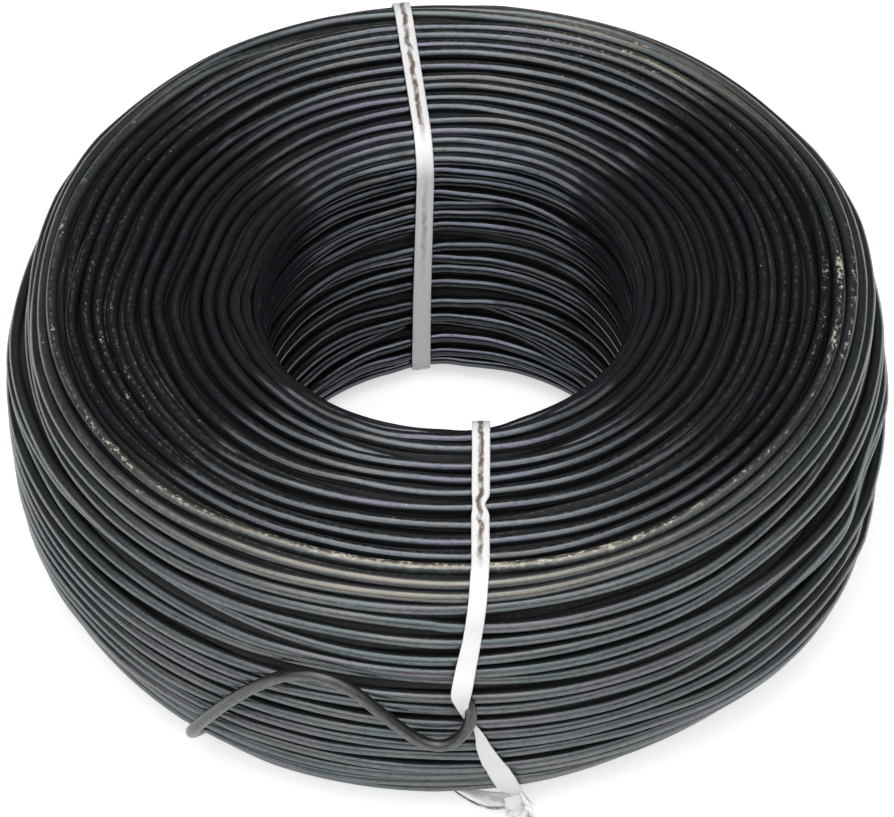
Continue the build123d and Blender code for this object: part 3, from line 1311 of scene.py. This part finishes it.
@dataclass
class Knot:
    """Knot of the front tie under the coil's edge, with its two short ends, frayed to fibres.

    Its strips run through points in millimetres above the floor. Fibres start within a spread about three
    roots and run off along three ways, each by a random share, with a random lean and bend.
    """

    profile: int = 10
    seed: int = 5
    face: Row = (0.15, -0.6, 0.8)
    lump: tuple[Row, ...] = (
        (7.3, -54.6, 4.0),
        (7.5, -55.0, 2.9),
        (7.6, -55.2, 1.9),
        (7.1, -55.2, 1.2),
        (6.5, -55.0, 0.9),
    )
    wrap: tuple[Row, ...] = (
        (6.1, -54.2, 2.5),
        (6.7, -55.0, 2.9),
        (7.6, -55.3, 2.7),
        (8.4, -54.9, 2.2),
        (8.6, -54.3, 1.9),
    )
    leaf: tuple[Row, ...] = (
        (7.0, -54.4, 2.6),
        (5.6, -54.0, 2.5),
        (3.8, -53.4, 2.5),
        (1.8, -52.6, 2.6),
        (-0.2, -52.0, 2.9),
    )
    leaf_fibre: tuple[Row, ...] = (
        (6.4, -55.0, 2.1),
        (4.8, -54.8, 1.8),
        (3.0, -54.2, 1.8),
        (1.2, -53.2, 2.1),
        (-0.4, -52.2, 2.7),
    )
    right_end: tuple[Row, ...] = ((7.2, -54.6, 1.8), (8.2, -54.9, 1.3), (9.2, -55.2, 0.9))
    fibre_roots: tuple[Row, ...] = ((8.8, -54.9, 1.0), (7.2, -55.1, 1.0), (8.6, -54.0, 4.0))
    fibre_runs: tuple[Row, ...] = ((1.5, -0.9, -0.6), (0.5, -1.5, -0.6), (2.0, -1.2, -2.4))
    fibres: tuple[int, ...] = (9, 6, 3)
    fibre_width: float = 0.12
    root_spread: Row = (0.45, 0.27, 0.135)
    run_share: Row = (0.55, 1.0)
    lean: Row = (0.25, 0.25, 0.1)
    bend: Row = (0.25, 0.25, 0.12)
    lowest: float = 0.15

    def strands(self) -> list[tuple]:
        """Set out every strip of the knot.

        Returns:
            For each its path, its width at the start and at the end, its thickness and its grime.
        """
        strips = [
            (eased_path(self.lump, 50), 2.3, 1.5, 0.35, 0.0),
            (eased_path(self.wrap, 40), 1.1, 1.0, 0.4, 0.1),
            (eased_path(self.leaf, 30), 2.7, 0.3, 0.24, 0.35),
            (eased_path(self.leaf_fibre, 30), 0.5, 0.2, 0.2, 0.9),
            (eased_path(self.right_end, 20), 1.6, 0.9, 0.24, 0.0),
        ]
        rng = np.random.default_rng(self.seed)
        for root, run, count in zip(self.fibre_roots, self.fibre_runs, self.fibres):
            for _ in range(count):
                start = np.array(root) + rng.uniform(-1.0, 1.0, 3) * self.root_spread
                reach = np.array(run) * rng.uniform(*self.run_share) + rng.normal(size=3) * self.lean
                bend = rng.normal(size=3) * self.bend
                path = np.stack([start, start + reach / 2 + bend, start + reach])
                path[:, 2] = np.maximum(path[:, 2], self.lowest)
                strips.append((eased_path(tuple(path), 12), self.fibre_width, 0.06, 0.1, 0.6))
        return strips

    def lay(self) -> tuple:
        """Lay all strips as one piece.

        Returns:
            Its vertices, faces, tape vectors and grime.
        """
        points, faces, tape, grime = [], [], [], []
        start = 0
        for path, first_width, last_width, thickness, soiled in self.strands():
            width = np.linspace(first_width, last_width, len(path))
            outward = np.broadcast_to(np.array(self.face), path.shape)
            corners, strip, vectors = ribbon(path, outward, width, thickness, self.profile, False)
            points.append(corners)
            faces += [[[int(v) + start for v in face] for face in part] for part in strip]
            tape.append(vectors)
            grime.append(np.full(len(corners), soiled))
            start += len(corners)
        return np.concatenate(points), faces, np.concatenate(tape), np.concatenate(grime)


@dataclass
class Ties:
    """Front and rear tie, and the front one's knot.

    The rows of each tie give a place on the section, the sideways shift, the height over the outline and the
    width. Heights in the bore and underneath are below 0, where the tie is drawn into the turns.
    """

    in_bore: float = -0.06
    under: float = -0.36
    outside: float = 0.26
    width: float = 2.35

    def rear_ways(self) -> tuple[Row, ...]:
        """Set out the plain rear tie.

        Returns:
            Its rows.
        """
        in_bore, under, outside, width = self.in_bore, self.under, self.outside, self.width
        return (
            (0.0, 1.2, in_bore, width + 0.2),
            (12.0, 0.9, in_bore, width + 0.1),
            (34.0, 0.1, in_bore, width),
            (43.0, 0.0, outside, width),
            (98.0, 0.0, outside, width),
            (112.0, 0.0, under, width),
            (122.0, 0.0, under, width),
            (134.0, 1.1, under, width),
        )

    def front_ways(self) -> tuple[Row, ...]:
        """Set out the front tie, with the pinch where the wire is hooked round it.

        Returns:
            Its rows.
        """
        in_bore, under, outside, width = self.in_bore, self.under, self.outside, self.width
        return (
            (0.0, 0.0, in_bore, width),
            (33.0, 0.0, in_bore, width),
            (37.5, -0.05, 0.75, width + 0.05),
            (43.0, -0.1, outside, width),
            (52.3, -0.3, outside, width),
            (53.3, -0.55, outside + 0.1, 1.7),
            (54.3, -0.6, outside + 0.15, 1.6),
            (55.4, -0.4, outside, width),
            (63.8, -0.5, outside, width),
            (68.8, -0.95, outside, width),
            (74.6, -1.8, outside + 0.2, width),
            (78.2, -2.6, 1.2, 2.6),
            (80.4, -3.1, 2.2, 2.7),
            (81.9, -3.35, 2.3, 2.6),
            (83.6, -3.2, 1.8, 1.8),
            (87.4, -2.8, 0.5, 0.4),
            (89.6, -1.5, 0.3, 0.6),
            (91.5, -0.9, 0.4, 1.3),
            (94.0, -0.5, outside, 2.0),
            (98.0, 0.6, outside, 2.8),
            (102.0, 2.1, outside, 3.1),
            (105.4, 3.0, outside, 3.0),
            (106.4, 3.2, outside, 2.5),
            (108.0, 3.3, outside, 2.4),
            (109.5, 3.2, 0.0, 2.0),
            (113.0, 1.8, under, width),
            (122.0, 0.0, under, width),
            (138.0, 0.0, under, width),
        )

    def build(self) -> None:
        """Lay both ties and the knot."""
        material = WhiteTapeFinish("white_tape_finish").material()
        for node, tie in (
            ("rear_tie", Tie("rear_tape", REAR_AZIMUTH, 0.0, self.rear_ways(), (38.5, 72.0))),
            ("front_tie", Tie("front_tape", FRONT_AZIMUTH, FRONT_OFFSET, self.front_ways())),
        ):
            points, faces, tape, grime = tie.lay()
            made = new_piece(tie.name, points, faces, material, {"tape": tape, "grime": grime})
            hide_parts(node)
        points, faces, tape, grime = Knot().lay()
        new_piece("tie_knot", points, faces, material, {"tape": tape, "grime": grime})


# ---- light, floor and camera


@dataclass
class Studio:
    """Pale floor, three soft lamps round the front, a weak one behind and a plain world."""

    floor_size: float = 30.0
    floor_gap: float = 0.0001
    floor_glow: float = 0.62
    lamp_distance: float = 0.75
    lamp_width: float = 0.8
    lamp_height: float = 1.3
    lamp_elevation: float = 58.0
    lamp_powers: Row = (3.9, 3.5, 2.6, 0.12)
    lamp_azimuths: Row = (-50.0, 0.0, 50.0, 180.0)
    ambient: float = 0.045

    def floor(self) -> None:
        """Flat white floor that keeps the shadow and reads white to the camera."""
        half = self.floor_size / 2
        level = -COIL_HEIGHT / 2 * MM - self.floor_gap
        mesh = bpy.data.meshes.new("studio_floor")
        corners = ((-half, -half), (half, -half), (half, half), (-half, half))
        mesh.from_pydata([(x, y, level) for x, y in corners], [], [(0, 1, 2, 3)])
        shader = Shader("floor_finish")
        path = shader.node("ShaderNodeLightPath").outputs
        camera, glossy, through = (
            Channel(shader, path[name]) for name in ("Is Camera Ray", "Is Glossy Ray", "Is Transmission Ray")
        )
        direct = (camera + glossy + through).clamped()
        shader.set(
            Base_Color=(0.80, 0.80, 0.80, 1.0),
            Roughness=0.9,
            Emission_Color=(1.0, 1.0, 1.0, 1.0),
            Emission_Strength=direct * self.floor_glow,
        )
        mesh.materials.append(shader.material)
        floor = placed("studio_floor", mesh)

    def lamps(self) -> None:
        """Soft lamps on a ring above the coil, each facing it; azimuth 0 is the photographer's side."""
        for number, (azimuth, power) in enumerate(zip(self.lamp_azimuths, self.lamp_powers)):
            light = bpy.data.lights.new(f"softbox_{number}", "AREA")
            light.shape = "RECTANGLE"
            light.size = self.lamp_width
            light.size_y = self.lamp_height
            light.energy = power
            turn, rise = math.radians(azimuth), math.radians(self.lamp_elevation)
            level = math.cos(rise)
            back = Vector((math.sin(turn) * level, -math.cos(turn) * level, math.sin(rise)))
            lamp = placed(f"softbox_{number}", light)
            lamp.location = back * self.lamp_distance
            lamp.rotation_mode = "QUATERNION"
            lamp.rotation_quaternion = (-back).to_track_quat("-Z", "Y")

    def world(self) -> None:
        """Even grey surroundings."""
        world = bpy.data.worlds.new("studio_world")
        world.use_nodes = True
        background = world.node_tree.nodes["Background"]
        background.inputs["Color"].default_value = (1.0, 1.0, 1.0, 1.0)
        background.inputs["Strength"].default_value = self.ambient
        bpy.context.scene.world = world

    def build(self) -> None:
        """Set the whole studio up."""
        self.floor()
        self.lamps()
        self.world()
        bpy.context.scene.view_settings.view_transform = "Standard"


@dataclass
class Viewpoint:
    """The photograph's camera, aimed from the front at the middle of the coil's underside.

    Distance is in millimetres, elevation in degrees, and pan, tilt and roll in radians.
    """

    elevation: float = 46.63
    distance: float = 973.7
    focal_pixels: float = 7196.0
    pan: float = -0.0002
    tilt: float = 0.0143
    roll: float = -0.0185

    def build(self) -> None:
        """Place the camera: its axes are the level ones, panned, tilted and rolled in turn."""
        rise = math.radians(self.elevation)
        ahead = Vector((0.0, math.cos(rise), -math.sin(rise)))
        right = Vector((1.0, 0.0, 0.0))
        up = right.cross(ahead)
        stand = -self.distance * ahead
        panned = math.cos(self.pan) * ahead + math.sin(self.pan) * right
        right = math.cos(self.pan) * right - math.sin(self.pan) * ahead
        tilted = math.cos(self.tilt) * panned + math.sin(self.tilt) * up
        up = math.cos(self.tilt) * up - math.sin(self.tilt) * panned
        rolled = math.cos(self.roll) * right + math.sin(self.roll) * up
        up = math.cos(self.roll) * up - math.sin(self.roll) * right
        data = bpy.data.cameras.new("viewpoint")
        data.sensor_width = SENSOR_WIDTH
        data.sensor_fit = "HORIZONTAL"
        data.lens = self.focal_pixels / IMAGE_WIDTH * SENSOR_WIDTH
        data.clip_start, data.clip_end = 0.01, 100.0
        camera = placed("viewpoint", data)
        turned = Matrix((rolled, up, -tilted)).transposed().to_4x4()
        turned.translation = (stand - Vector((0.0, 0.0, COIL_HEIGHT / 2))) * MM
        camera.matrix_world = turned
        bpy.context.scene.camera = camera


def main() -> None:
    """Build every piece in order."""
    logging.basicConfig(level=logging.INFO, format="%(name)s %(message)s")
    Viewpoint().build()
    LooseEnd().build()
    WireCoil().build()
    Ties().build()
    Studio().build()
    bpy.context.view_layer.update()


if __name__ == "__main__":
    main()
